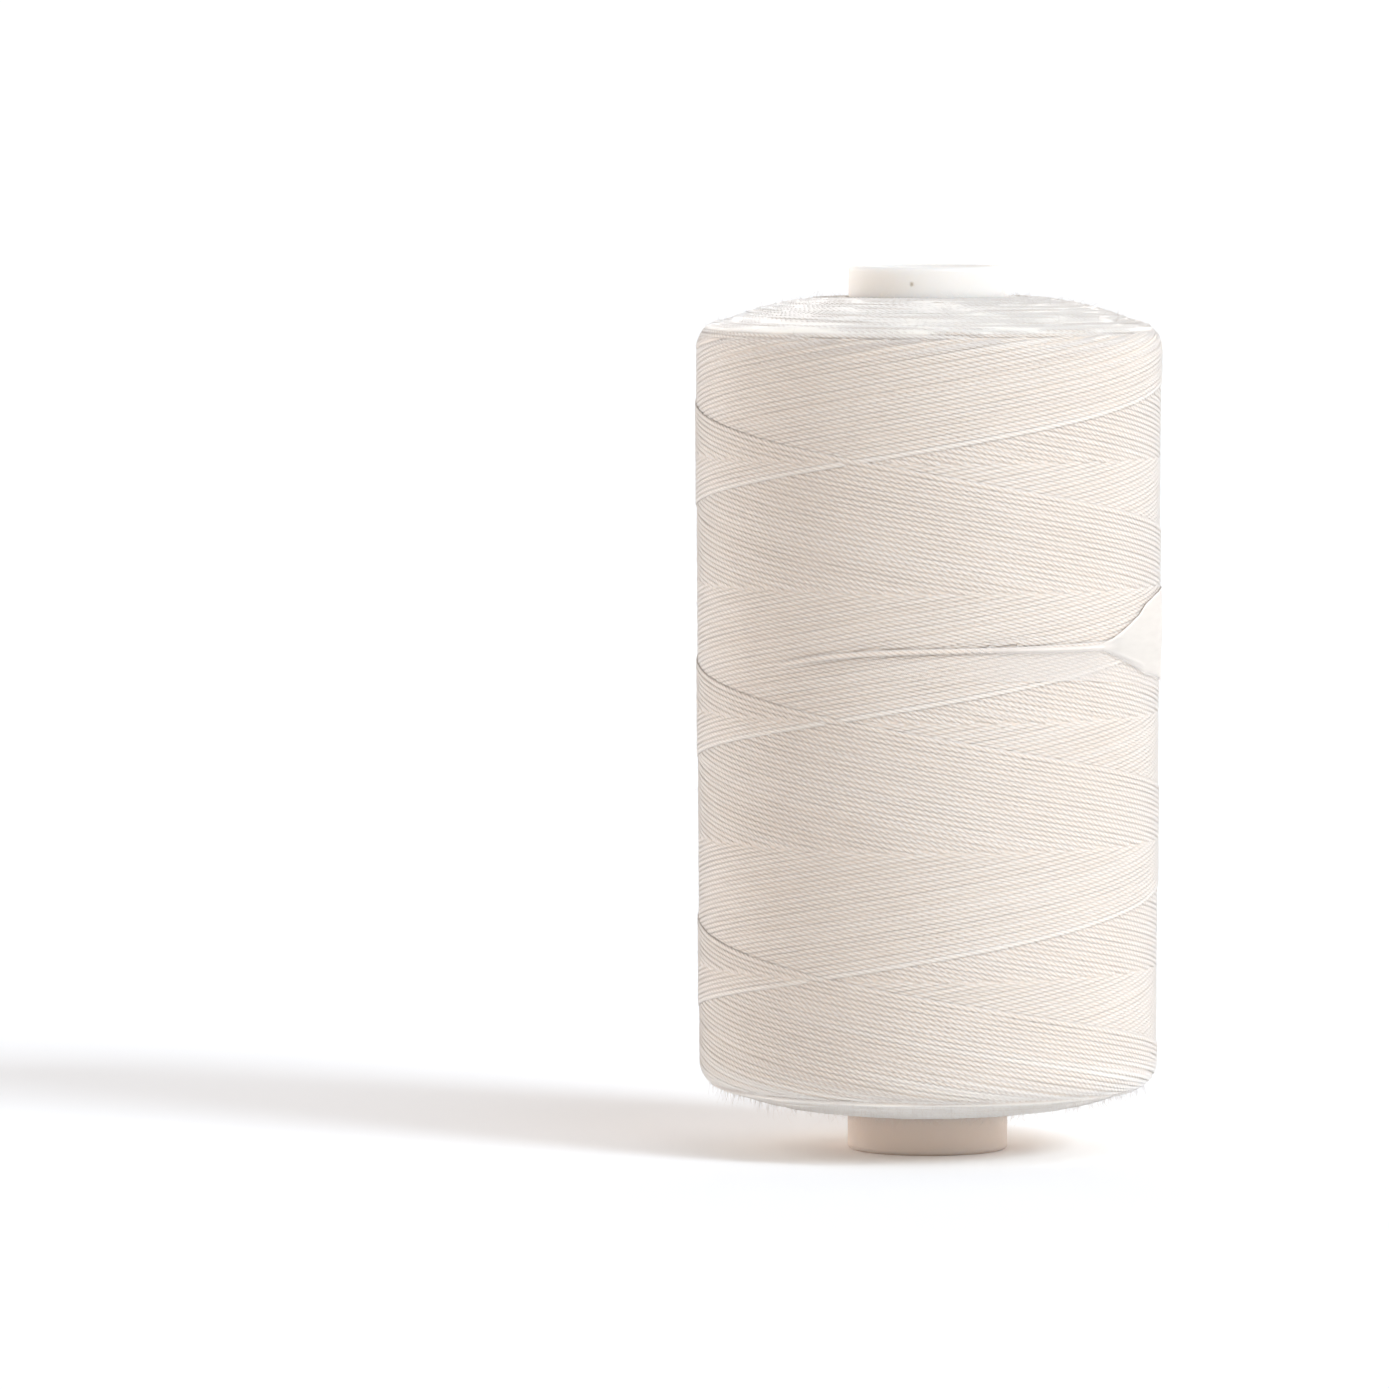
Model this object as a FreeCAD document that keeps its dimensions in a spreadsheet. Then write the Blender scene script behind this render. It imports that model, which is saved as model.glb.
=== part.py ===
import FreeCAD, Part
import math
import os

import Sketcher

# A spool of waxed sewing thread for leatherwork: a plastic tube, the thread cross-wound on it,
# the last lap of thread laid over the windings, and the strip of clear film that holds its end.
# Frame: +Z is the tube's axis, and the origin is the middle of the rim that the spool stands on.
# Lengths are in mm. Angles round the axis are in degrees from the front (-Y), positive towards +X.

DIMENSIONS = [
    ("tube_outer_diameter", 17.2, "outside of the plastic tube"),
    ("tube_bore_diameter", 14.0, "bore that goes over a spindle"),
    ("tube_length", 95.0, "rim to rim"),
    ("rim_rounding", 0.5, "radius on the outer edge of both rims"),
    ("bore_chamfer", 0.3, "lead-in at both ends of the bore"),
    ("gate_diameter", 0.5, "dimple left by the mould's pin gate"),
    ("gate_depth", 0.2, "depth of that dimple"),
    ("gate_offset", 2.0, "how far the dimple sits to the left of the front"),
    ("gate_height", 93.2, "height of the dimple"),
    ("winding_diameter", 49.6, "outside of the wound thread"),
    ("side_bottom", 9.6, "height where the straight side of the winding starts"),
    ("side_top", 86.1, "height where the straight side of the winding ends"),
    ("shoulder_radius", 3.0, "rounding between the side and the ends of the winding"),
    ("bottom_rise", 2.1, "how far the lower end swells downwards from its shoulder to the tube"),
    ("top_rise", 2.5, "how far the upper end swells upwards from its shoulder to the tube"),
    ("bulge_radius", 32.0, "radius of the rounded section of both swollen ends"),
    ("thread_diameter", 0.5, "the thread itself"),
    ("lay_clearance", 0.02, "gap that keeps touching pieces apart"),
    ("tail_height", 55.1, "height of the last lap of thread"),
    ("tail_start", -40.0, "angle where the last lap leaves the crossed windings"),
    ("tail_end", 95.0, "angle of the thread's cut end, under the film"),
    ("film_thickness", 0.08, "clear adhesive film"),
    ("film_bottom", 48.6, "lower edge of the film's full width"),
    ("film_top", 60.6, "upper edge of the film's full width"),
    ("film_right", 130.0, "angle of the film's straight end"),
    ("film_corner", 82.0, "angle where the torn edge leaves the upper edge"),
    ("film_tear", 46.0, "angle where the torn edge meets the narrow tongue"),
    ("film_step", 60.0, "angle where the tongue's lower edge meets the full width"),
    ("film_left", -16.0, "angle of the tongue's tip"),
    ("film_middle", 57.0, "angle halfway between the tip and the straight end"),
    ("tongue_bottom", 51.5, "lower edge of the tongue"),
    ("tongue_top", 55.4, "upper edge of the tongue"),
]

SHEET_NAME = "Dimensions"
TUBE_RADIUS = "(Dimensions.tube_outer_diameter / 2)"
WINDING_RADIUS = "(Dimensions.winding_diameter / 2)"
TAIL_RADIUS = f"({WINDING_RADIUS} + Dimensions.lay_clearance + Dimensions.thread_diameter / 2)"
FILM_RADIUS = f"({WINDING_RADIUS} + Dimensions.thread_diameter + 2 * Dimensions.lay_clearance)"


def make_sheet(doc):
    """Puts every driving dimension in a spreadsheet, with its name as the alias of its cell."""
    sheet = doc.addObject("Spreadsheet::Sheet", SHEET_NAME)
    for row, (alias, value, meaning) in enumerate(DIMENSIONS, start=1):
        sheet.set(f"A{row}", alias)
        sheet.set(f"B{row}", str(value))
        sheet.setAlias(f"B{row}", alias)
        sheet.set(f"C{row}", meaning)
    doc.recompute()
    return sheet


def origin_plane(body, role):
    """The body's own origin plane with that role."""
    return next(feature for feature in body.Origin.OriginFeatures if feature.Role == role)


def new_sketch(body, name, role):
    sketch = body.newObject("Sketcher::SketchObject", name)
    sketch.AttachmentSupport = [(origin_plane(body, role), "")]
    sketch.MapMode = "FlatFace"
    return sketch


def new_body(doc, label):
    body = doc.addObject("PartDesign::Body", label)
    body.Label = label
    return body


def add_circle(sketch, diameter, name, expression, centre=(0.0, 0.0)):
    """A circle whose diameter follows the sheet. One off the origin gets its place from pin_point."""
    middle = FreeCAD.Vector(centre[0], centre[1], 0)
    geometry = sketch.addGeometry(Part.Circle(middle, FreeCAD.Vector(0, 0, 1), diameter / 2))
    if centre == (0.0, 0.0):
        sketch.addConstraint(Sketcher.Constraint("Coincident", geometry, 3, -1, 1))
    size = sketch.addConstraint(Sketcher.Constraint("Diameter", geometry, diameter))
    sketch.renameConstraint(size, name)
    sketch.setExpression(f"Constraints.{name}", expression)
    return geometry


def pin_point(sketch, geometry, corner, name, x_expression, y_expression):
    """Ties one point of the sketch to the sheet, by its distances from the sketch's origin."""
    point = sketch.getPoint(geometry, corner)
    for axis, value, expression in (("X", point.x, x_expression), ("Y", point.y, y_expression)):
        index = sketch.addConstraint(Sketcher.Constraint("Distance" + axis, geometry, corner, value))
        sketch.renameConstraint(index, f"{name}_{axis}")
        sketch.setExpression(f"Constraints.{name}_{axis}", expression)


def close_loop(sketch, edges):
    """Joins each edge's end to the next edge's start."""
    for index, edge in enumerate(edges):
        following = edges[(index + 1) % len(edges)]
        sketch.addConstraint(Sketcher.Constraint("Coincident", edge, 2, following, 1))


def add_outline(sketch, corners):
    """A closed outline of straight edges through (name, x, y, x expression, y expression) corners."""
    points = [FreeCAD.Vector(x, y, 0) for _, x, y, _, _ in corners]
    edges = []
    for index, point in enumerate(points):
        following = points[(index + 1) % len(points)]
        edges.append(sketch.addGeometry(Part.LineSegment(point, following)))
    close_loop(sketch, edges)
    for edge, (name, _, _, x_expression, y_expression) in zip(edges, corners):
        pin_point(sketch, edge, 1, name, x_expression, y_expression)


def make_tube(doc, sheet):
    """The moulded plastic tube: a plain bore, rounded rims and a pin gate's dimple near the top."""
    body = new_body(doc, "core_tube")
    ring = new_sketch(body, "TubeRing", "XY_Plane")
    add_circle(ring, sheet.tube_outer_diameter, "outer", "Dimensions.tube_outer_diameter")
    add_circle(ring, sheet.tube_bore_diameter, "bore", "Dimensions.tube_bore_diameter")
    wall = body.newObject("PartDesign::Pad", "TubeWall")
    wall.Profile = ring
    wall.setExpression("Length", "Dimensions.tube_length")
    doc.recompute()

    def rim_edges(feature, radius):
        """The names of the circular edges of that radius at both ends of the tube."""
        return [
            f"Edge{number}"
            for number, edge in enumerate(feature.Shape.Edges, start=1)
            if edge.Curve.TypeId == "Part::GeomCircle" and abs(edge.Curve.Radius - radius) < 1e-6
        ]

    rims = body.newObject("PartDesign::Fillet", "RimRounding")
    rims.Base = (wall, rim_edges(wall, sheet.tube_outer_diameter / 2))
    rims.setExpression("Radius", "Dimensions.rim_rounding")
    doc.recompute()
    mouths = body.newObject("PartDesign::Chamfer", "BoreMouths")
    mouths.Base = (rims, rim_edges(rims, sheet.tube_bore_diameter / 2))
    mouths.setExpression("Size", "Dimensions.bore_chamfer")
    doc.recompute()

    # The dimple's floor lies on a plane gate_depth under the wall, and the cut runs outwards from it.
    mark = new_sketch(body, "GateMark", "XZ_Plane")
    surface = f"sqrt({TUBE_RADIUS} ^ 2 - Dimensions.gate_offset ^ 2)"
    mark.setExpression("AttachmentOffset.Base.z", f"{surface} - Dimensions.gate_depth")
    centre = (-sheet.gate_offset, sheet.gate_height)
    dot = add_circle(mark, sheet.gate_diameter, "dot", "Dimensions.gate_diameter", centre)
    pin_point(mark, dot, 3, "middle", "-Dimensions.gate_offset", "Dimensions.gate_height")
    doc.recompute()
    dimple = body.newObject("PartDesign::Pocket", "GateDimple")
    dimple.Profile = mark
    dimple.Type = "ThroughAll"
    dimple.Reversed = True
    doc.recompute()
    removed = mouths.Shape.Volume - dimple.Shape.Volume
    gate_volume = math.pi / 4 * sheet.gate_diameter**2 * sheet.gate_depth
    if not 0.5 * gate_volume < removed < 2 * gate_volume:
        raise RuntimeError(f"the gate dimple removed {removed:.4f} mm3")
    return body


def bulged(start, finish, radius):
    """An arc from start to finish that bulges towards the right of that way."""
    chord = finish - start
    sagitta = radius - math.sqrt(radius**2 - chord.Length**2 / 4)
    sideways = FreeCAD.Vector(chord.y, -chord.x, 0).normalize()
    return Part.Arc(start, (start + finish) / 2 + sideways * sagitta, finish)


def make_winding(doc, sheet):
    """The wound thread, as the solid of its outer shape: straight side, round shoulders, swollen ends."""
    body = new_body(doc, "thread_winding")
    half = new_sketch(body, "WindingHalf", "XZ_Plane")
    inner = sheet.tube_outer_diameter / 2
    outer = sheet.winding_diameter / 2
    shoulder = sheet.shoulder_radius
    low_lip = sheet.side_bottom - shoulder
    high_lip = sheet.side_top + shoulder
    inside_low = FreeCAD.Vector(inner, low_lip - sheet.bottom_rise, 0)
    lip_low = FreeCAD.Vector(outer - shoulder, low_lip, 0)
    side_low = FreeCAD.Vector(outer, sheet.side_bottom, 0)
    side_high = FreeCAD.Vector(outer, sheet.side_top, 0)
    lip_high = FreeCAD.Vector(outer - shoulder, high_lip, 0)
    inside_high = FreeCAD.Vector(inner, high_lip + sheet.top_rise, 0)
    diagonal = shoulder * math.sqrt(0.5)
    bend_low = FreeCAD.Vector(outer - shoulder + diagonal, sheet.side_bottom - diagonal, 0)
    bend_high = FreeCAD.Vector(outer - shoulder + diagonal, sheet.side_top + diagonal, 0)
    edges = half.addGeometry(
        [
            bulged(inside_low, lip_low, sheet.bulge_radius),
            Part.Arc(lip_low, bend_low, side_low),
            Part.LineSegment(side_low, side_high),
            Part.Arc(side_high, bend_high, lip_high),
            bulged(lip_high, inside_high, sheet.bulge_radius),
            Part.LineSegment(inside_high, inside_low),
        ]
    )
    close_loop(half, list(edges))
    lip_x = f"{WINDING_RADIUS} - Dimensions.shoulder_radius"
    low_y = "Dimensions.side_bottom - Dimensions.shoulder_radius"
    high_y = "Dimensions.side_top + Dimensions.shoulder_radius"
    pin_point(half, edges[0], 1, "inside_low", TUBE_RADIUS, f"{low_y} - Dimensions.bottom_rise")
    pin_point(half, edges[0], 2, "lip_low", lip_x, low_y)
    pin_point(half, edges[2], 1, "side_low", WINDING_RADIUS, "Dimensions.side_bottom")
    pin_point(half, edges[2], 2, "side_high", WINDING_RADIUS, "Dimensions.side_top")
    pin_point(half, edges[4], 1, "lip_high", lip_x, high_y)
    pin_point(half, edges[4], 2, "inside_high", TUBE_RADIUS, f"{high_y} + Dimensions.top_rise")
    rounded = (
        (edges[0], "bulge_low", "bulge_radius"),
        (edges[1], "bend_low", "shoulder_radius"),
        (edges[3], "bend_high", "shoulder_radius"),
        (edges[4], "bulge_high", "bulge_radius"),
    )
    for edge, name, alias in rounded:
        index = half.addConstraint(Sketcher.Constraint("Radius", edge, sheet.getPropertyByName(alias)))
        half.renameConstraint(index, name)
        half.setExpression(f"Constraints.{name}", f"Dimensions.{alias}")
    turned = body.newObject("PartDesign::Revolution", "WindingTurned")
    turned.Profile = half
    turned.ReferenceAxis = (half, ["V_Axis"])
    turned.Angle = 360
    doc.recompute()
    return body


def make_tail(doc):
    """The last lap of thread, which leaves the crossed windings and lies level round the front."""
    tail = doc.addObject("Part::Torus", "thread_tail")
    tail.Label = "thread_tail"
    tail.setExpression("Radius1", TAIL_RADIUS)
    tail.setExpression("Radius2", "Dimensions.thread_diameter / 2")
    tail.setExpression("Angle3", "Dimensions.tail_end - Dimensions.tail_start")
    tail.setExpression("Placement.Base.z", "Dimensions.tail_height")
    # A torus starts on +X, and the angles here start at -Y, which is a quarter turn before it.
    tail.setExpression("Placement.Rotation.Angle", "Dimensions.tail_start - 90")
    doc.recompute()
    return tail


def make_film(doc, sheet):
    """The clear film over the thread's end: a torn strip, curved to the winding."""
    body = new_body(doc, "end_film")
    outline = new_sketch(body, "FilmOutline", "XZ_Plane")
    radius = sheet.winding_diameter / 2

    def corner(name, angle_alias, height_alias):
        """One corner, seen square on from the middle of the film."""
        turn = math.radians(sheet.getPropertyByName(angle_alias) - sheet.film_middle)
        across = f"{WINDING_RADIUS} * sin((Dimensions.{angle_alias} - Dimensions.film_middle) * 1 deg)"
        height = sheet.getPropertyByName(height_alias)
        return (name, radius * math.sin(turn), height, across, f"Dimensions.{height_alias}")

    add_outline(
        outline,
        [
            corner("tip_low", "film_left", "tongue_bottom"),
            corner("step", "film_step", "tongue_bottom"),
            corner("step_low", "film_step", "film_bottom"),
            corner("end_low", "film_right", "film_bottom"),
            corner("end_high", "film_right", "film_top"),
            corner("tear_high", "film_corner", "film_top"),
            corner("tear_low", "film_tear", "tongue_top"),
            corner("tip_high", "film_left", "tongue_top"),
        ],
    )
    block = body.newObject("PartDesign::Pad", "FilmBlock")
    block.Profile = outline
    block.setExpression("Length", "Dimensions.winding_diameter")
    doc.recompute()

    inside = new_sketch(body, "FilmInside", "XY_Plane")
    add_circle(inside, 2 * radius, "inner", f"2 * {FILM_RADIUS}")
    hollow = body.newObject("PartDesign::Pocket", "FilmHollow")
    hollow.Profile = inside
    hollow.Type = "ThroughAll"
    hollow.Midplane = True
    doc.recompute()

    outside = new_sketch(body, "FilmOutside", "XY_Plane")
    add_circle(outside, 2 * radius, "face", f"2 * ({FILM_RADIUS} + Dimensions.film_thickness)")
    add_circle(outside, 8 * radius, "beyond", "4 * Dimensions.winding_diameter")
    trimmed = body.newObject("PartDesign::Pocket", "FilmTrimmed")
    trimmed.Profile = outside
    trimmed.Type = "ThroughAll"
    trimmed.Midplane = True
    body.setExpression("Placement.Rotation.Angle", "Dimensions.film_middle")
    doc.recompute()
    return body


def check(doc, parts):
    """Stops if anything failed to build, or if a sub-part isn't one valid solid."""
    for thing in doc.Objects:
        failed = {"Invalid", "Error"} & set(thing.State)
        if failed:
            raise RuntimeError(f"{thing.Label} is {sorted(failed)}")
    for part in parts:
        shape = part.Shape
        if shape.isNull() or not shape.isValid() or len(shape.Solids) != 1:
            raise RuntimeError(f"{part.Label} isn't one valid solid")
        box = shape.optimalBoundingBox()
        print(
            f"{part.Label}: {shape.Volume:.2f} mm3, x {box.XMin:.2f} to {box.XMax:.2f},"
            f" y {box.YMin:.2f} to {box.YMax:.2f}, z {box.ZMin:.2f} to {box.ZMax:.2f}"
        )
    for index, one in enumerate(parts):
        for other in parts[index + 1 :]:
            shared = one.Shape.common(other.Shape).Volume
            if shared > 0.01:
                raise RuntimeError(f"{one.Label} and {other.Label} share {shared:.3f} mm3")


def main():
    doc = FreeCAD.newDocument("ThreadSpool")
    sheet = make_sheet(doc)
    parts = [
        make_tube(doc, sheet),
        make_winding(doc, sheet),
        make_tail(doc),
        make_film(doc, sheet),
    ]
    doc.recompute()
    check(doc, parts)
    os.makedirs("parts", exist_ok=True)
    for part in parts:
        part.Shape.exportStep(os.path.join("parts", part.Label + ".step"))


main()
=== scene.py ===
"""The looks of the waxed thread spool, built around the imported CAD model.

Lengths in this script are millimetres and angles are degrees until they reach Blender. An angle around
the spool is measured from the front, -Y, and grows towards +X. A place on the winding is that angle and q,
which is the height on the straight side and carries on as arc length over the shoulders to the tube.
"""

import math

import bpy
import numpy as np
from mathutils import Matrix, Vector


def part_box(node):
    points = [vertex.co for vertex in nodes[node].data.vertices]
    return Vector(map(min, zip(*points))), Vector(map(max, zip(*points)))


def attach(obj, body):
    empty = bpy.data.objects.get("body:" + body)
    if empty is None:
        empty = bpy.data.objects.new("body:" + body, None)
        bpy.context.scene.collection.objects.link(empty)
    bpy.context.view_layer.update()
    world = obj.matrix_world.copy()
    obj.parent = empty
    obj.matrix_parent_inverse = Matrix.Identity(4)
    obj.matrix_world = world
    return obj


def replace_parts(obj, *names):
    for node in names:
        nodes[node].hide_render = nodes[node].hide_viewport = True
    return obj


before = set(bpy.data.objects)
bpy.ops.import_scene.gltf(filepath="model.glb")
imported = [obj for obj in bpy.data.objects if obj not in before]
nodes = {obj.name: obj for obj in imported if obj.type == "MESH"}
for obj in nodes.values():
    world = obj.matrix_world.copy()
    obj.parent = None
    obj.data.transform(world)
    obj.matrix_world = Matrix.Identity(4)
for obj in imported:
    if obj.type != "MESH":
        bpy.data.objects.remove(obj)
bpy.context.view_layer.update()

MM = 0.001
random = np.random.default_rng(11)


# ---------------------------------------------------------------- sizes

tube_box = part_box("core_tube")
winding_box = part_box("thread_winding")
tube_radius = tube_box[1].x / MM
winding_radius = winding_box[1].x / MM

side_low = 9.6          # where the straight side starts
side_high = 86.1        # and ends
shoulder = 3.0          # radius of the rounding between side and end
low_rise = 2.1          # how far the lower end swells towards the tube
high_rise = 2.5         # and the upper end
bulge = 32.0            # radius of the swollen ends' section
taper = 0.005           # growth of the radius with height, from the middle of the side
ply_lay = 2.3           # length of one turn of the three plies
TWIST = 1               # the hand of that turn
crest = 0.33            # radius over a ply, pressed into the next strand's
valley = 0.18           # radius between two plies
flat = 0.42             # how much the winding's pressure flattens a strand

# The last cover of crossed turns. Rising strokes climb to the right, falling strokes sink to the right.
strokes = 53            # strokes of one kind that fill one turn's pitch
rise_pitch = 26.95      # climb of a rising stroke in one turn
fall_pitch = 27.68      # drop of a falling stroke in one turn
cross_angle = -25.0     # where the newest rising and falling strokes cross
cross_q = 47.5
swap = rise_pitch * fall_pitch / (rise_pitch + fall_pitch)
turn_low = cross_q - 3 * swap
turn_high = cross_q + 3 * swap
turn_round = 0.35       # how softly a stroke turns back
age_drop = 0.12         # how much lower the oldest stroke lies than the newest
under_drop = 0.36       # how much lower a strand lies under a crossing one
ring_step = 0.19        # length between a strand's rings

dive = 0.4              # how softly a strand goes down under another, as a length along it
hidden_reach = 3.2      # how far a strand goes on beneath the one that covers it
shortest_run = 8        # rings of the shortest run of a stroke that is worth making
filling = 0.025         # how high the inner layers reach between the strands that show

arc_spacing = 0.40      # from one turned-back arc to the next, on an end
arc_step = 0.24         # length between an arc's rings
arc_tuck = 1.7          # how far an arc's end goes under the next arc round

tail_height = 55.1      # height of the last lap over most of its way

fibre_radius = 0.013    # a loose fibre, where it leaves its strand
FIBRE_SPANS = 6         # its segments
FIBRE_SIDES = 3         # and the corners of its section

film_gap = 0.13         # from the winding's outer shape to the film's underside
film_thickness = 0.03
crease_start = 19.6     # where the film's crease starts, as a length round the winding from the front
crease_height = 54.9
crease_along = 9.0      # how far the crease goes round
crease_down = 2.3       # and down

LARGEST = 10900         # rings in one piece


# ---------------------------------------------------------------- the winding's outer shape

def outline():
    """Arc length q, radius and height along half of the winding's section, from below upwards."""
    def end(rise):
        """Arc length, radius and height over one end, from the side to the tube."""
        turn = np.radians(np.linspace(0, 90, 31))
        share = np.linspace(0, 1, 60)[1:]
        reach = winding_radius - shoulder - tube_radius
        chord = math.hypot(reach, rise)
        bow = 4 * (bulge - math.sqrt(bulge ** 2 - chord ** 2 / 4)) * share * (1 - share)
        radius = np.concatenate([
            winding_radius - shoulder + shoulder * np.cos(turn),
            winding_radius - shoulder - reach * share + bow * rise / chord])
        over = np.concatenate([shoulder * np.sin(turn), shoulder + rise * share + bow * reach / chord])
        return np.concatenate([[0], np.cumsum(np.hypot(np.diff(radius), np.diff(over)))]), radius, over

    low_length, low_radius, low_over = end(low_rise)
    high_length, high_radius, high_over = end(high_rise)
    q = np.concatenate([side_low - low_length[::-1], side_high + high_length])
    height = np.concatenate([side_low - low_over[::-1], side_high + high_over])
    radius = np.concatenate([low_radius[::-1], high_radius])
    return q, radius + taper * (height - (side_low + side_high) / 2), height


LINE_Q, LINE_R, LINE_Z = outline()
slope_r = np.gradient(LINE_R, LINE_Q)
slope_z = np.gradient(LINE_Z, LINE_Q)
LINE_NR = slope_z / np.hypot(slope_r, slope_z)     # the outward direction there
LINE_NZ = -slope_r / np.hypot(slope_r, slope_z)


def place(angle, q, lift):
    """Points and outward directions at these places, lifted this far off the winding's outer shape."""
    a = np.radians(angle)
    nr = np.interp(q, LINE_Q, LINE_NR)
    nz = np.interp(q, LINE_Q, LINE_NZ)
    size = np.hypot(nr, nz)
    nr, nz = nr / size, nz / size
    r = np.interp(q, LINE_Q, LINE_R) + nr * lift
    z = np.interp(q, LINE_Q, LINE_Z) + nz * lift
    points = np.stack([r * np.sin(a), -r * np.cos(a), z], axis=-1)
    out = np.stack([nr * np.sin(a), -nr * np.cos(a), nz], axis=-1)
    return points, out


def unit(v):
    return v / np.maximum(np.linalg.norm(v, axis=-1, keepdims=True), 1e-12)


def soften(values, width):
    """The values, one for each ring, smoothed over about that many rings."""
    reach = int(3 * width)
    k = np.exp(-0.5 * (np.arange(-reach, reach + 1) / width) ** 2)
    padded = np.pad(values, reach, mode="edge")
    return np.convolve(padded, k / k.sum(), mode="valid")


def waver(distance, size, wavelengths):
    """A smooth random wandering along a strand, of about that size."""
    total = np.zeros_like(distance)
    for w in wavelengths:
        total += np.sin(2 * np.pi * distance / w + random.uniform(0, 2 * np.pi)) * random.uniform(0.5, 1)
    return total * size / math.sqrt(len(wavelengths))


# ---------------------------------------------------------------- meshes of twisted strands

PLIES = 3
PLY_SIDES = 3           # a valley and the two shoulders of a crest
SIDES = PLY_SIDES * PLIES
QUAD_SIDE = np.array([0, 1, 1, 0])      # the corners of a quad, across
QUAD_AHEAD = np.array([0, 0, 1, 1])     # and along


class Strands:
    """Twisted strands gathered into one mesh."""

    def __init__(self):
        self.rings, self.tones, self.lays, self.outs = [], [], [], []
        self.walls, self.caps, self.strips = [], [], []
        self.count = 0

    def add(self, centre, out, tone):
        """A strand along these centres. Its colour share, a random strand colour with painted light added,
        may be one number or one for each ring.
        """
        along = unit(np.gradient(centre, axis=0))
        out = unit(out - (out * along).sum(-1, keepdims=True) * along)
        across = np.cross(along, out)
        step = np.linalg.norm(np.diff(centre, axis=0), axis=-1)
        distance = np.concatenate([[0], np.cumsum(step)]) + random.uniform(0, 50)
        corner = np.arange(SIDES)
        angle = TWIST * 2 * np.pi * distance[:, None] / ply_lay + corner * (2 * np.pi / SIDES)
        in_valley = corner % PLY_SIDES == 0
        radius = np.where(in_valley, valley, crest)
        ring = centre[:, None] + radius[None, :, None] * (
            flat * np.cos(angle)[..., None] * out[:, None] + np.sin(angle)[..., None] * across[:, None])
        n = len(centre)
        first = self.count + np.arange(n - 1)[:, None] * SIDES
        after = (corner + 1) % SIDES
        ahead = first + SIDES
        walls = np.stack([first + corner, first + after, ahead + after, ahead + corner], axis=-1)
        self.rings.append(ring.reshape(-1, 3))
        self.tones.append(np.repeat(np.broadcast_to(tone, n), SIDES))
        lay = np.stack(np.broadcast_arrays(distance[:, None], corner / SIDES, in_valley), axis=-1)
        self.lays.append(lay.reshape(-1, 3))
        self.outs.append(np.repeat(out, SIDES, axis=0))
        self.walls.append(walls.reshape(-1, 4))
        self.caps += [self.count + corner[::-1], self.count + (n - 1) * SIDES + corner]
        self.strips.append(n - 1)
        self.count += n * SIDES

    def unwrapped(self):
        """One long strip of all the strands, cut into rows that fill a square.

        A cap takes the end of its strand's strip.
        """
        total = sum(self.strips)
        rows = max(4, int(math.sqrt(total * ring_step / 1.6)))
        per_row = math.ceil(total / rows)
        walls, caps, done = [], [], 0
        for n in self.strips:
            at = done + np.arange(n)
            row = at // per_row
            u = ((at - row * per_row)[:, None, None] + QUAD_AHEAD) / per_row
            across = 0.08 + 0.84 * (np.arange(SIDES)[None, :, None] + QUAD_SIDE) / SIDES
            v = (row[:, None, None] + across) / rows
            uv = np.stack(np.broadcast_arrays(u, v), axis=-1).reshape(-1, 2)
            walls.append(uv)
            caps += [np.repeat(uv[[0]], SIDES, axis=0), np.repeat(uv[[-1]], SIDES, axis=0)]
            done += n
        return np.concatenate(walls + caps)

    def build(self, name):
        faces = [np.concatenate(self.walls), np.array(self.caps)]
        mesh = new_mesh(name, np.concatenate(self.rings), faces, self.unwrapped())
        keep(mesh, "tone", np.concatenate(self.tones))
        keep(mesh, "lay", np.concatenate(self.lays))
        keep(mesh, "out", np.concatenate(self.outs))
        return new_piece(name, mesh, thread_look)


def new_mesh(name, points, faces, uv=None):
    """A smooth mesh from points in millimetres and arrays of faces.

    The faces of one array all have the same number of corners.
    """
    mesh = bpy.data.meshes.new(name)
    corners = np.concatenate([f.ravel() for f in faces]).astype(np.int32)
    sizes = np.concatenate([np.full(len(f), f.shape[1]) for f in faces])
    starts = np.concatenate([[0], np.cumsum(sizes)[:-1]]).astype(np.int32)
    mesh.vertices.add(len(points))
    mesh.vertices.foreach_set("co", (points * MM).astype(np.float32).ravel())
    mesh.loops.add(len(corners))
    mesh.loops.foreach_set("vertex_index", corners)
    mesh.polygons.add(len(sizes))
    mesh.polygons.foreach_set("loop_start", starts)
    if uv is not None:
        layer = mesh.uv_layers.new(name="OFBake")
        layer.data.foreach_set("uv", uv.astype(np.float32).ravel())
    mesh.update(calc_edges=True)
    mesh.shade_smooth()
    return mesh


def grid_quads(i, j, columns, after):
    """The quads of a grid of points: row i and the row after it, column j and the next."""
    here, there = i * columns + j, after * columns + j
    return np.stack([here, there, there + 1, here + 1], axis=-1).reshape(-1, 4)


def keep(mesh, name, values):
    """A number or a vector kept with each point of the mesh for its material."""
    kind, field = ("FLOAT", "value") if values.ndim == 1 else ("FLOAT_VECTOR", "vector")
    attribute = mesh.attributes.new(name, kind, "POINT")
    attribute.data.foreach_set(field, values.astype(np.float32).ravel())


def new_piece(name, mesh, material):
    """A piece of the model, riding on its one body."""
    piece = bpy.data.objects.new(name, mesh)
    bpy.context.scene.collection.objects.link(piece)
    mesh.materials.append(material)
    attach(piece, "root")
    return piece


# ---------------------------------------------------------------- materials

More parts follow.
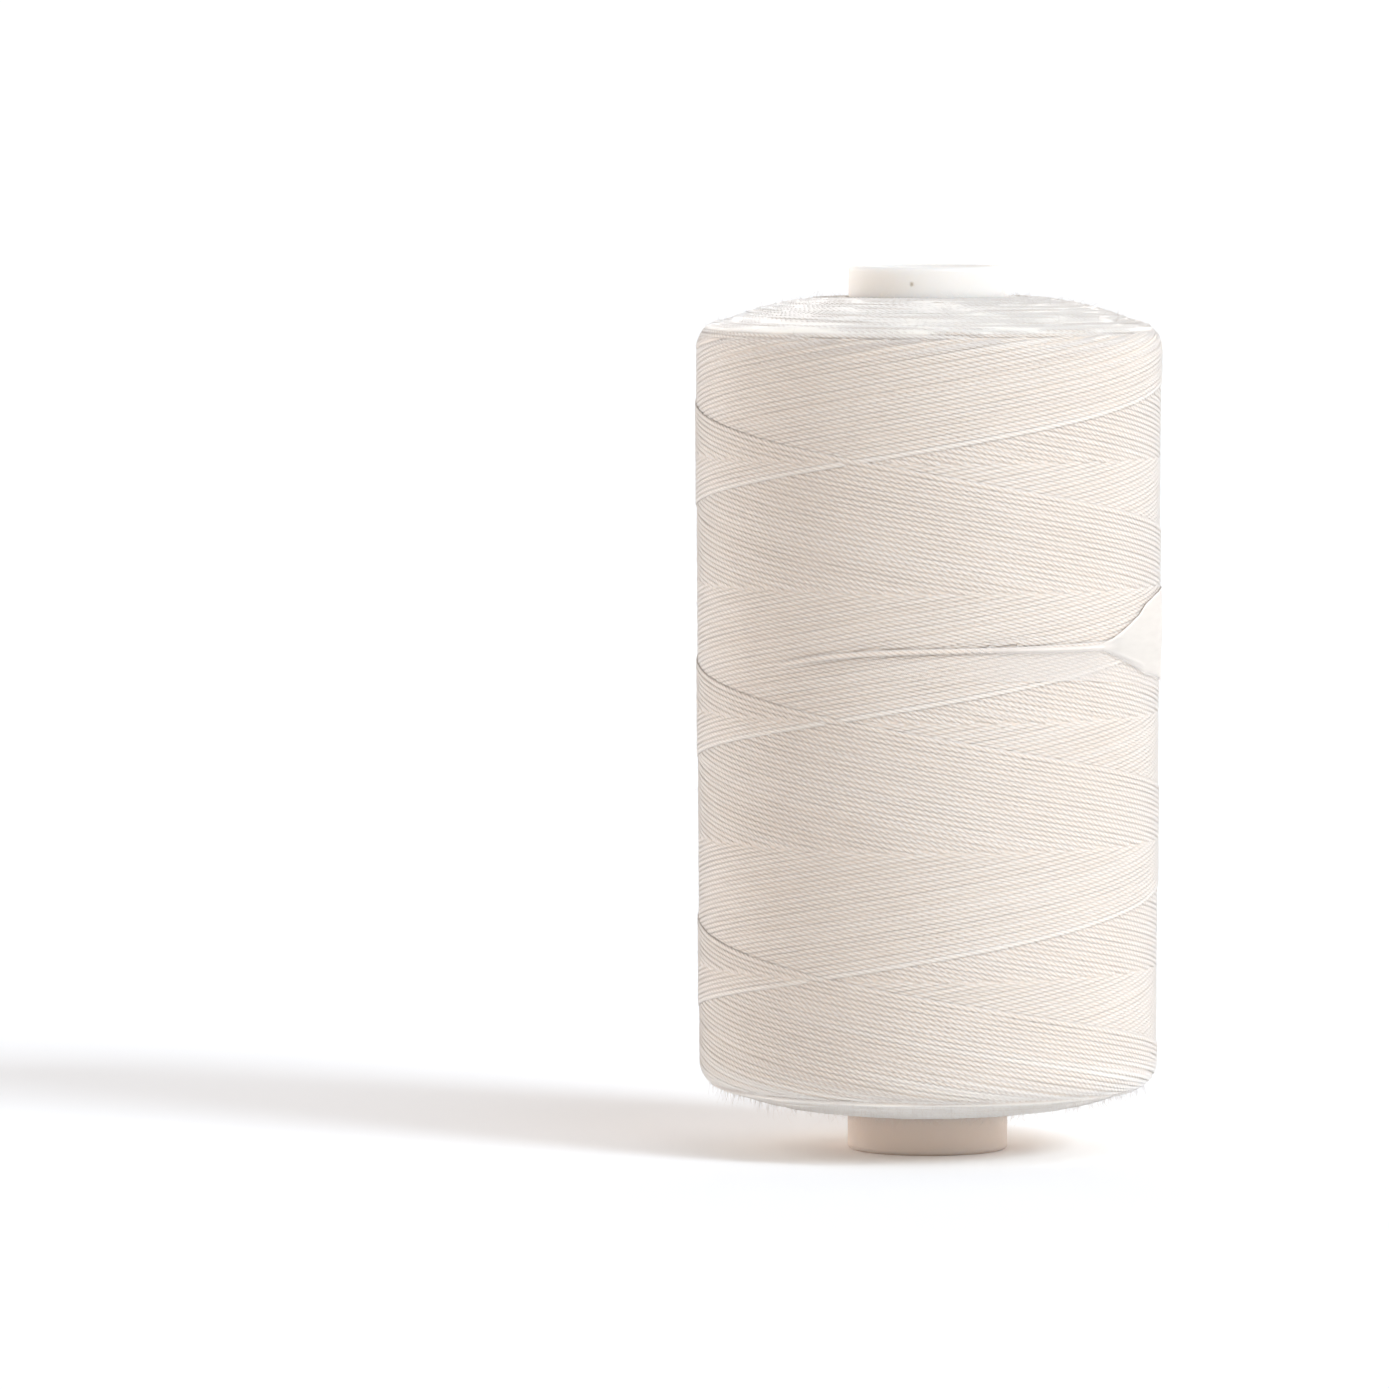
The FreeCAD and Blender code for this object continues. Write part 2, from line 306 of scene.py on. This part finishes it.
class Tree:
    """A material and short ways to add its nodes."""

    def __init__(self, name):
        self.material = bpy.data.materials.new(name)
        self.material.use_nodes = True
        self.nodes = self.material.node_tree.nodes
        self.links = self.material.node_tree.links
        self.shader = self.nodes["Principled BSDF"]

    def feed(self, socket, value):
        """The value may be another node's output or a constant."""
        if isinstance(value, bpy.types.NodeSocket):
            self.links.new(value, socket)
        else:
            socket.default_value = value

    def node(self, kind, inputs=None, **settings):
        made = self.nodes.new(kind)
        for key, value in settings.items():
            setattr(made, key, value)
        for key, value in (inputs or {}).items():
            self.feed(made.inputs[key], value)
        return made

    def mix(self, share, low, high):
        return self.node("ShaderNodeMix", {0: share, 6: low, 7: high}, data_type="RGBA").outputs[2]

    def math(self, kind, a, b):
        return self.node("ShaderNodeMath", {0: a, 1: b}, operation=kind).outputs[0]

    def noise(self, where, scale, detail):
        inputs = {"Vector": where, "Scale": scale, "Detail": detail}
        return self.node("ShaderNodeTexNoise", inputs).outputs["Fac"]

    def ramp(self, value, start=0.0, end=1.0, low=0.0, high=1.0):
        """From low to high while the value goes from start to end."""
        inputs = {"Value": value, "From Min": start, "From Max": end, "To Min": low, "To Max": high}
        return self.node("ShaderNodeMapRange", inputs).outputs[0]

    def stretched(self, where, scale):
        return self.node("ShaderNodeMapping", {"Vector": where, "Scale": scale}).outputs["Vector"]

    def part(self, vector, axis):
        return self.node("ShaderNodeSeparateXYZ", {0: vector}).outputs[axis]

    def kept(self, name, output="Fac"):
        return self.node("ShaderNodeAttribute", attribute_name=name).outputs[output]

    def where(self):
        """The place in metres, in the piece's own axes."""
        return self.node("ShaderNodeTexCoord").outputs["Object"]

    def set(self, **values):
        for key, value in values.items():
            self.feed(self.shader.inputs[key.replace("_", " ")], value)


def make_thread_look():
    """Waxed polyester: creamy white, each strand a little different, with fine fibres along the plies."""
    t = Tree("waxed_thread")
    where = t.where()
    broad = t.noise(where, 90.0, 3.0)
    # Each strand's random colour, with painted light added on top.
    tone = t.kept("tone")
    lay = t.kept("lay", "Vector")
    fibre = t.noise(t.stretched(lay, (1.6, 26.0, 0.0)), 1.0, 2.0)
    share = t.math("ADD", t.math("MULTIPLY", broad, 0.45), t.math("MULTIPLY", tone, 0.3))
    share = t.math("ADD", share, t.math("MULTIPLY", fibre, 0.3))
    base = t.mix(share, (0.81, 0.69, 0.59, 1), (0.94, 0.845, 0.76, 1))
    # Painted shade: the valleys between the plies are coloured darker.
    groove_shade = t.ramp(t.part(lay, "Z"), start=0.3, high=0.8)
    base = t.mix(groove_shade, base, (0.66, 0.51, 0.40, 1))
    # Painted light: colour shares above 1 make a strand lighter, on the ends, where strokes turn back and
    # on the newest strokes.
    painted_light = t.ramp(tone, start=1.0, end=2.0)
    base = t.mix(painted_light, base, (0.99, 0.91, 0.82, 1))
    # Painted shade: the inner layers seen in the gaps between the strands are coloured darker.
    base = t.mix(t.kept("gap_shade"), base, (0.84, 0.71, 0.60, 1))
    # Light spreads through the translucent strands, so their shading leans towards the whole winding's.
    out = t.node(
        "ShaderNodeVectorTransform", {"Vector": t.kept("out", "Vector")},
        vector_type="NORMAL", convert_from="OBJECT", convert_to="WORLD").outputs["Vector"]
    own = t.node("ShaderNodeNewGeometry").outputs["Normal"]
    spread = t.node("ShaderNodeMix", {0: 0.6, 4: own, 5: out}, data_type="VECTOR").outputs[1]
    spread = t.node("ShaderNodeVectorMath", {0: spread}, operation="NORMALIZE").outputs["Vector"]
    relief = {"Strength": 0.35, "Distance": 0.00006, "Height": fibre, "Normal": spread}
    bump = t.node("ShaderNodeBump", relief)
    t.set(Base_Color=base, Roughness=0.52, Normal=bump.outputs["Normal"])
    t.set(Sheen_Weight=1.0, Sheen_Roughness=0.5, Sheen_Tint=(1.0, 0.98, 0.96, 1), Specular_IOR_Level=0.4)
    t.set(Subsurface_Weight=0.35, Subsurface_Radius=(1.0, 0.85, 0.7), Subsurface_Scale=0.0004)
    return t.material


def make_tube_look():
    """Moulded polypropylene: soft white, faintly cloudy, with the finest drawn lines along it."""
    t = Tree("tube_plastic")
    where = t.where()
    cloud = t.noise(where, 140.0, 4.0)
    lines = t.noise(t.stretched(where, (1.0, 1.0, 0.04)), 2600.0, 2.0)
    base = t.mix(cloud, (0.74, 0.715, 0.685, 1), (0.78, 0.76, 0.735, 1))
    # Painted shade: the bottom of the tube, in the winding's shade, is coloured warmer to stand for that
    # warm shade.
    foot_shade = t.ramp(t.part(where, "Z"), start=0.006, end=0.03)
    base = t.mix(foot_shade, (0.84, 0.68, 0.59, 1), base)
    # A tiny dark speck at the pin gate.
    gate = (-0.002, -0.0084, 0.0932)
    far = t.node("ShaderNodeVectorMath", {0: where, 1: gate}, operation="DISTANCE").outputs["Value"]
    speck = t.ramp(far, start=0.0001, end=0.0003)
    base = t.mix(speck, (0.14, 0.12, 0.10, 1), base)
    rough = t.math("ADD", t.math("MULTIPLY", cloud, 0.16), 0.4)
    bump = t.node("ShaderNodeBump", {"Strength": 0.12, "Distance": 0.00003, "Height": lines})
    t.set(Base_Color=base, Roughness=rough, Normal=bump.outputs["Normal"])
    t.set(Subsurface_Weight=0.8, Subsurface_Radius=(1.0, 0.85, 0.7), Subsurface_Scale=0.004)
    return t.material


def make_film_look():
    """Clear adhesive film, a little milky, with faint streaks where it was pressed down."""
    t = Tree("clear_film")
    where = t.where()
    haze = t.noise(t.stretched(where, (1.0, 1.0, 6.0)), 240.0, 3.0)
    milk = t.kept("milk")
    rim = t.kept("rim")
    thick = t.mix(haze, (0.66, 0.61, 0.555, 1), (0.70, 0.655, 0.60, 1))
    base = t.mix(milk, (0.99, 0.95, 0.91, 1), thick)
    # Painted highlight along the raised torn edge and over the last lap.
    base = t.mix(rim, base, (0.99, 0.91, 0.84, 1))
    bump = t.node("ShaderNodeBump", {"Strength": 0.2, "Distance": 0.00004, "Height": haze})
    cover = t.math("ADD", t.math("MAXIMUM", milk, rim), t.math("MULTIPLY", haze, 0.08))
    t.set(Base_Color=base, Roughness=0.42, Alpha=cover, Specular_IOR_Level=0.3)
    t.set(Normal=bump.outputs["Normal"])
    return t.material


thread_look = make_thread_look()
tube_look = make_tube_look()
film_look = make_film_look()


# ---------------------------------------------------------------- the crossed turns

def age_of(kind, angle, q):
    """From 0, newest, to 1, oldest: the age of the strand of that kind that passes here."""
    if kind == "rising":
        newest = cross_q + rise_pitch * (angle - cross_angle) / 360
        return ((q - newest) / rise_pitch) % 1
    newest = cross_q - fall_pitch * (angle - cross_angle) / 360
    return ((newest - q) / fall_pitch) % 1


def turned(q):
    """The straight course q of a stroke with its two ends turned back softly."""
    high = turn_high - np.hypot(turn_high - q, turn_round)
    low = turn_low + np.hypot(q - turn_low, turn_round)
    return np.where(q > cross_q, high, low)


def opened(angle):
    """How far, round the spool, the strands above the last lap stand apart from it."""
    angle = (angle + 180) % 360 - 180
    return 0.35 * np.exp(-((angle + 12) / 8) ** 2) + 0.6 * np.exp(-((angle - 20) / 11) ** 2)


def parted(angle, q):
    """How far the strands beside the last lap are pushed aside by it."""
    above = np.clip(q - tail_height, 0, None)
    return np.where(q > tail_height - 0.1, opened(angle) * np.exp(-above / 1.1), 0)


def stroke(kind, number):
    """The runs of one stroke that show: for each its points, outward directions and painted light."""
    rising = kind == "rising"
    slope = (rise_pitch if rising else -fall_pitch) / 360
    offset = (rise_pitch if rising else -fall_pitch) * number / strokes
    spare = 0.6
    ends = np.array([turn_low - spare, turn_high + spare])
    first, last = sorted(cross_angle + (ends - cross_q - offset) / slope)
    step = math.degrees(ring_step / winding_radius)
    angle = np.arange(first, last, step)
    course = cross_q + offset + slope * (angle - cross_angle)
    own = (number + (0.5 if rising else 0)) / strokes
    other = age_of("falling" if rising else "rising", angle, course)
    if not rising:
        other = other + 0.5 / strokes
    top = own < other
    top &= (course > turn_low) if rising else (course < turn_high)
    distance = np.arange(len(angle)) * ring_step
    q = turned(course)
    uneven_high, uneven_low = random.normal(0, 0.3), random.normal(0, 0.2)
    q = q + uneven_high * np.exp((q - turn_high) / 2.5) + uneven_low * np.exp((turn_low - q) / 2.5)
    q = q + waver(distance, 0.035, (23, 41, 67)) + random.normal(0, 0.02)
    q = q + parted(angle, q)
    lift = -age_drop * (own + other) - np.where(top, 0, under_drop)
    lift = soften(lift, dive / ring_step) + waver(distance, 0.018, (7, 13, 29))
    reach = int(hidden_reach / ring_step)
    shown = np.convolve(top, np.ones(2 * reach + 1), mode="same") > 0
    edges = np.flatnonzero(np.diff(np.concatenate([[0], shown.astype(int), [0]])))
    # Painted light: a painted highlight on the newest strokes, which lie highest, and lighter colour on
    # all of them where they turn back onto the ends, most at the lower end.
    newest_highlight = 0.4 * math.exp(-number / 1.2)
    painted_light = newest_highlight + 0.6 * np.exp((q - turn_high) / 2) + 1.5 * np.exp((turn_low - q) / 3)
    runs = []
    for a, b in zip(edges[::2], edges[1::2]):
        if b - a > shortest_run:
            runs.append(place(angle[a:b], q[a:b], lift[a:b]) + (painted_light[a:b],))
    return runs


def gather(runs, name):
    """Pieces of these runs, none too large."""
    pieces, strands, rings = [], Strands(), 0
    for points, out, painted_light in runs:
        if rings + len(points) > LARGEST:
            pieces.append(strands.build(f"{name}_{len(pieces) + 1:02d}"))
            strands, rings = Strands(), 0
        # A random colour for the strand, plus its painted light.
        strands.add(points, out, random.uniform(0, 1) + painted_light)
        rings += len(points)
    pieces.append(strands.build(f"{name}_{len(pieces) + 1:02d}"))
    return pieces


def crossed_turns():
    made = []
    for kind in ("falling", "rising"):
        runs = [run for number in range(strokes) for run in stroke(kind, number)]
        made += gather(runs, f"thread_{kind}")
    return made


# ---------------------------------------------------------------- the ends

def end_arcs(name, start, finish, end_light):
    """The turned-back arcs of the inner layers on one end, each tucked under the next one round.

    Painted light makes them as light as the strokes near the lip and lighter towards the tube; the first
    arcs by the lip get less, as painted shade under the lip.
    """
    count = int(abs(finish - start) / arc_spacing)
    toward = 1 if finish > start else -1
    runs = []
    for i in range(count):
        middle = start + toward * (i + 0.5) * abs(finish - start) / count
        r = float(np.interp(middle, LINE_Q, LINE_R))
        at = random.uniform(0, 360)
        stop = at + 360
        while at < stop - 6:
            span = min(random.uniform(14, 46), stop - at)
            tuck = math.degrees(arc_tuck / r)
            step = math.degrees(arc_step / r)
            angle = np.arange(at - tuck, at + span + tuck, step)
            share = (angle - at) / span
            aside = random.normal(0, 0.12 if i < 4 else 0.05)
            q = middle + aside + toward * 0.24 * (0.5 - share) * random.uniform(0.3, 1.2)
            q = np.clip(q, LINE_Q[0] + 0.1, LINE_Q[-1] - 0.1)
            beyond = np.clip(-share, 0, None) + np.clip(share - 1, 0, None)
            lift = random.normal(-0.02, 0.03) - 0.1 * math.exp(-i / 1.5) - 0.3 * beyond * span / tuck
            lift = lift - 0.05 * (2 * share - 1) ** 2
            # Painted light, least at the lip, where its lack stands for the shade there, and more towards
            # the tube.
            painted_light = np.full(len(angle), end_light * (1 - math.exp(-i / 2.5)))
            runs.append(place(angle, q, soften(lift, 2.0)) + (painted_light,))
            at += span
    return gather(runs, name)


def backing():
    """The layers just beneath the strands that show, which fill the gaps between them."""
    side_q = np.linspace(side_low, side_high, 182)[1:-1]
    q = np.concatenate([LINE_Q[LINE_Q <= side_low][::2], side_q, LINE_Q[LINE_Q >= side_high][::2]])
    angle = np.linspace(0, 360, 361)[:-1]
    grid_a, grid_q = np.meshgrid(angle, q, indexing="ij")
    ages = age_of("rising", grid_a, grid_q) + age_of("falling", grid_a, grid_q)
    wound = (grid_q > turn_low) & (grid_q < turn_high)
    slot = opened(grid_a) * np.exp(-((grid_q - tail_height - 0.45) / 0.4) ** 2)
    lift = np.where(wound, filling - age_drop * ages - 0.1 * slot, 0.05)
    points, out = place(grid_a, grid_q, lift)
    rows, columns = grid_a.shape
    i, j = np.meshgrid(np.arange(rows), np.arange(columns - 1), indexing="ij")
    quads = grid_quads(i, j, columns, (i + 1) % rows)
    u = (i[..., None] + QUAD_SIDE) / rows
    v = (j[..., None] + QUAD_AHEAD) / (columns - 1)
    uv = np.stack([u, v], axis=-1).reshape(-1, 2)
    mesh = new_mesh("thread_inner_layers", points.reshape(-1, 3), [quads], uv)
    keep(mesh, "out", out.reshape(-1, 3))
    # Painted light: the ends are coloured lighter; the wound part gets none.
    keep(mesh, "tone", np.where(wound, 0.5, 2.0).ravel())
    # Painted shade: the wound layers, which show only in the gaps between the strands, are coloured
    # darker.
    keep(mesh, "gap_shade", np.where(wound, 1.0, 0.0).ravel())
    return new_piece("thread_inner_layers", mesh, thread_look)


# ---------------------------------------------------------------- fibres, last lap, film

def fuzz():
    """Loose fibres that stand off the strands, most of them round the shoulders and ends."""
    low_lip = float(np.interp(-20.0, -LINE_R[:60], LINE_Q[:60]))
    fibre_points = (FIBRE_SPANS + 1) * FIBRE_SIDES
    # How many, from q, to q, shortest, longest, and how much they hang down.
    zones = (
        (700, side_high + 0.5, LINE_Q[-1] - 0.5, 0.5, 1.6, 0.0),
        (600, LINE_Q[0] + 0.3, side_low - 0.5, 0.5, 1.6, 0.0),
        (900, side_low, side_high, 0.3, 0.9, 0.0),
        (800, low_lip - 3.0, side_low - 2.5, 0.5, 1.5, 1.3),
    )
    points, outs = [], []
    t = np.linspace(0, 1, FIBRE_SPANS + 1)[:, None]
    corner_angles = [2 * math.pi * corner / FIBRE_SIDES for corner in range(FIBRE_SIDES)]
    for number, first, last, short, long, hang in zones:
        for _ in range(number):
            angle = random.uniform(0, 360)
            length = random.uniform(short, long)
            root, out = place(np.array([angle]), np.array([random.uniform(first, last)]), np.array([0.05]))
            root, out = root[0], out[0]
            turn = math.radians(angle)
            round_ = np.array([math.cos(turn), math.sin(turn), 0]) * random.choice([-1, 1])
            up = np.cross(out, round_)
            lean = round_ * random.uniform(0.4, 1) * (0.4 if hang else 1) + out * random.uniform(0.25, 0.9)
            lean = unit(lean + up * random.normal(0, 0.35) + np.array([0, 0, -hang]))
            bend = unit(random.normal(size=3)) * random.uniform(0.1, 0.5)
            line = root + lean * length * t + bend * length * t ** 2
            along = unit(np.gradient(line, axis=0))
            a = unit(np.cross(along, out))
            b = np.cross(along, a)
            thick = fibre_radius * (1 - 0.6 * t)
            corners = [line + thick * (a * math.cos(w) + b * math.sin(w)) for w in corner_angles]
            points.append(np.stack(corners, axis=1).reshape(-1, 3))
            outs.append(np.tile(out, (fibre_points, 1)))
    fibre, n, c = np.meshgrid(
        np.arange(len(points)), np.arange(FIBRE_SPANS), np.arange(FIBRE_SIDES), indexing="ij")
    first = fibre * fibre_points + n * FIBRE_SIDES
    ahead = first + FIBRE_SIDES
    d = (c + 1) % FIBRE_SIDES
    quads = np.stack([first + c, first + d, ahead + d, ahead + c], axis=-1).reshape(-1, 4)
    # Each fibre is unwrapped into a square cell of its own.
    cells = math.ceil(math.sqrt(len(points)))
    u = ((fibre % cells)[..., None] + (c[..., None] + QUAD_SIDE) / FIBRE_SIDES) / cells
    v = ((fibre // cells)[..., None] + (n[..., None] + QUAD_AHEAD) / FIBRE_SPANS) / cells
    uv = np.stack([u, v], axis=-1).reshape(-1, 2)
    mesh = new_mesh("thread_fuzz", np.concatenate(points), [quads], uv)
    keep(mesh, "out", np.concatenate(outs))
    keep(mesh, "tone", np.full(len(points) * fibre_points, 1.0))
    return new_piece("thread_fuzz", mesh, thread_look)


def last_lap():
    """The strand's own end: over the crossed turns at one level, then under the film."""
    angle = np.arange(-46, 95, math.degrees(ring_step / winding_radius))
    height = np.interp(
        angle, [-46, -36, -22, -3, 19, 32, 46, 95], [52.6, 53.7, 54.6, 55.0, 55.1, 55.2, 55.4, 55.6])
    height = soften(height, 18)
    lift = np.interp(angle, [-46, -41, -34, 44, 52, 95], [-0.62, -0.1, 0.22, 0.24, -0.15, -0.15])
    strands = Strands()
    points, out = place(angle, height, soften(lift, 8))
    strands.add(points, out, 0.9)
    return strands.build("thread_last_lap")


def film():
    """The strip of film, narrow where it was torn, lying over the last lap."""
    angle = np.linspace(-16, 130, 300)
    low = np.interp(angle, [-16, -12, 40, 62, 90, 130], [53.4, 52.0, 51.6, 50.9, 48.9, 48.6])
    high = np.interp(
        angle,
        [-16, -11, 20, 45, 49.5, 53.5, 59, 63, 66, 75, 86, 130],
        [54.2, 55.2, 55.3, 55.35, 55.85, 56.5, 57.6, 58.25, 59.25, 60.2, 60.6, 60.6])
    low = soften(low, 3) + waver(angle, 0.04, (5, 11, 17))
    high = soften(high, 2) + waver(angle, 0.05, (4, 9, 19))
    share = np.linspace(0, 1, 70) ** 0.8
    grid_a = np.repeat(angle[:, None], len(share), axis=1)
    grid_z = low[:, None] + (high - low)[:, None] * share
    below = high[:, None] - grid_z
    torn = np.interp(grid_a, [40, 50, 80, 90], [0, 1, 1, 0])
    curl = torn * 0.06 * np.exp(-(below / 0.2) ** 2)
    # The film stands off the winding like a tent where it comes down from the last lap.
    tent = np.interp(grid_a, [10, 44, 56], [0.0, 0.35, 1.0])
    reach = np.where(grid_z > 55.2, 0.45 + 4.0 * tent, 0.45 + 1.2 * tent)
    lap = np.exp(-((grid_z - 55.2) / reach) ** 2)
    ripple = 0.012 * np.sin((grid_z - grid_a * rise_pitch / 360) * 2 * np.pi / 0.51)
    along = np.radians(grid_a) * winding_radius - crease_start
    over = grid_z - crease_height
    length = math.hypot(crease_along, crease_down)
    way = np.clip((along * crease_along - over * crease_down) / length ** 2, 0, 1)
    off = np.hypot(along - crease_along * way, over + crease_down * way)
    fold = 0.10 * np.exp(-(off / 0.16) ** 2) * np.sin(np.pi * way) ** 0.5
    clings = 1 - 0.8 * torn * np.exp(-(below / 0.9) ** 2)
    height = np.interp(grid_a, [40, 60, 90], [0.28, 0.2, 0.1])
    lift = film_gap + np.maximum(height * lap * clings, curl) + ripple * (1 - tent) + fold
    points, out = place(grid_a, grid_z, lift)
    outside = points + out * film_thickness
    rows, columns = grid_a.shape
    i, j = np.meshgrid(np.arange(rows - 1), np.arange(columns - 1), indexing="ij")
    face = grid_quads(i, j, columns, i + 1)
    total = rows * columns
    rim = np.concatenate([
        np.arange(rows) * columns, (rows - 1) * columns + np.arange(1, columns),
        (np.arange(rows - 1) * columns + columns - 1)[::-1], np.arange(1, columns - 1)[::-1]])
    next_ = np.roll(rim, -1)
    edge = np.stack([next_, rim, rim + total, next_ + total], axis=-1)
    quads = np.concatenate([face + total, face[:, ::-1], edge])
    both = np.concatenate([points.reshape(-1, 3), outside.reshape(-1, 3)])
    mesh = new_mesh("film_strip", both, [quads])
    # The film looks milky where it stands off the thread, above this line.
    line = np.interp(grid_a, [10, 46, 50, 56, 66, 90, 130], [54.6, 54.7, 54.2, 53.4, 51.9, 50.6, 50.2])
    stands = 1 / (1 + np.exp(-(grid_z - line) / 0.12))
    stands = stands * np.interp(grid_a, [10, 20, 46, 54, 110, 130], [0, 0.4, 0.6, 0.9, 0.9, 0.5])
    tongue = np.interp(grid_a, [6, 20, 44, 52, 130], [0, 0.14, 0.22, 0.06, 0.06])
    milk = np.maximum(stands, tongue).ravel()
    # Painted highlight: the raised torn edge and the film over the last lap are coloured light and made
    # more opaque.
    torn_edge_highlight = 0.9 * torn * np.exp(-(below / 0.3) ** 2)
    lap_highlight = np.interp(grid_a, [5, 24, 46, 52], [0, 0.7, 0.8, 0])
    lap_highlight = lap_highlight * np.exp(-((grid_z - tail_height) / 0.28) ** 2)
    highlight_share = np.maximum(torn_edge_highlight, lap_highlight).ravel()
    keep(mesh, "milk", np.concatenate([milk, milk]))
    keep(mesh, "rim", np.concatenate([highlight_share, highlight_share]))
    return new_piece("film_strip", mesh, film_look)


# ---------------------------------------------------------------- camera, floor, light

def camera():
    data = bpy.data.cameras.new("camera")
    data.sensor_width = 36
    data.lens = 268.2
    data.clip_start = 0.05
    data.clip_end = 50
    data.dof.use_dof = False
    cam = bpy.data.objects.new("camera", data)
    bpy.context.scene.collection.objects.link(cam)
    cam.location = (-0.0251, -1.11, 0.118)
    cam.rotation_euler = (math.radians(90 - 3.56), 0, 0)
    bpy.context.scene.camera = cam


def floor():
    t = Tree("floor")
    grain = t.noise(t.where(), 3.0, 2.0)
    t.set(Base_Color=t.mix(grain, (0.95, 0.95, 0.95, 1), (0.965, 0.965, 0.965, 1)), Roughness=0.9)
    mesh = bpy.data.meshes.new("floor")
    far = 12.0
    mesh.from_pydata([(-far, -far, 0), (far, -far, 0), (far, far, 0), (-far, far, 0)], [], [(0, 1, 2, 3)])
    mesh.materials.append(t.material)
    piece = bpy.data.objects.new("floor", mesh)
    bpy.context.scene.collection.objects.link(piece)


def lights():
    world = bpy.data.worlds.new("studio")
    bpy.context.scene.world = world
    world.use_nodes = True
    tree = world.node_tree
    tree.nodes.clear()
    where = tree.nodes.new("ShaderNodeTexCoord")
    split = tree.nodes.new("ShaderNodeSeparateXYZ")
    tree.links.new(where.outputs["Generated"], split.inputs[0])

    def graded(axis, low, high, start=-1.0, end=1.0):
        made = tree.nodes.new("ShaderNodeMapRange")
        for name, value in (("From Min", start), ("From Max", end), ("To Min", low), ("To Max", high)):
            made.inputs[name].default_value = value
        tree.links.new(split.outputs[axis], made.inputs["Value"])
        return made.outputs[0]

    def times(a, b):
        made = tree.nodes.new("ShaderNodeMath")
        made.operation = "MULTIPLY"
        tree.links.new(a, made.inputs[0])
        tree.links.new(b, made.inputs[1])
        return made.outputs[0]

    # Brighter near the horizon, to the left and behind the spool.
    level = times(graded("Z", 1.62, 0.32, 0.0, 0.8), graded("X", 1.12, 0.88))
    strength = times(level, graded("Y", 0.5, 1.72))
    tint = tree.nodes.new("ShaderNodeMix")
    tint.data_type = "RGBA"
    tint.inputs[6].default_value = (1.0, 0.85, 0.745, 1)
    tint.inputs[7].default_value = (0.985, 0.985, 1.0, 1)
    tree.links.new(graded("Z", 0.0, 1.0, 0.0, 0.6), tint.inputs[0])
    soft = tree.nodes.new("ShaderNodeBackground")
    tree.links.new(tint.outputs[2], soft.inputs["Color"])
    tree.links.new(strength, soft.inputs["Strength"])
    seen = tree.nodes.new("ShaderNodeBackground")
    seen.inputs["Color"].default_value = (1, 1, 1, 1)
    seen.inputs["Strength"].default_value = 1.05
    path = tree.nodes.new("ShaderNodeLightPath")
    choose = tree.nodes.new("ShaderNodeMixShader")
    tree.links.new(path.outputs["Is Camera Ray"], choose.inputs[0])
    tree.links.new(soft.outputs[0], choose.inputs[1])
    tree.links.new(seen.outputs[0], choose.inputs[2])
    out = tree.nodes.new("ShaderNodeOutputWorld")
    tree.links.new(choose.outputs[0], out.inputs["Surface"])

    suns = (
        ("key", 1.62, 18, 51, 31, (0.91, 1.03, 1.14)), ("key_high", 0.5, 30, 40, 58, (0.91, 1.0, 1.09)),
        ("rim_left", 0.45, 40, -128, 9, (1, 1, 1)), ("rim_right", 0.2, 40, 128, 16, (1, 1, 1)))
    for name, energy, wide, away, up, color in suns:
        data = bpy.data.lights.new(name, "SUN")
        data.angle = math.radians(wide)
        data.energy = energy
        data.color = color
        key = bpy.data.objects.new(name, data)
        bpy.context.scene.collection.objects.link(key)
        away, up = math.radians(away), math.radians(up)
        toward = Vector((math.sin(away) * math.cos(up), -math.cos(away) * math.cos(up), math.sin(up)))
        key.rotation_mode = "QUATERNION"
        key.rotation_quaternion = toward.to_track_quat("Z", "Y")
    bpy.context.scene.view_settings.view_transform = "Standard"


# ---------------------------------------------------------------- the model

camera()
laps = crossed_turns()
# Both ends get painted light, the lower end more.
laps += end_arcs("thread_top_arcs", turn_high - 0.7, LINE_Q[-1], 1.1)
laps += end_arcs("thread_bottom_arcs", turn_low + 0.7, LINE_Q[0], 1.7)
laps.append(backing())
laps.append(fuzz())
for piece in laps:
    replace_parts(piece, "thread_winding")
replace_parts(last_lap(), "thread_tail")
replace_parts(film(), "end_film")

nodes["core_tube"].data.materials.clear()
nodes["core_tube"].data.materials.append(tube_look)

floor()
lights()
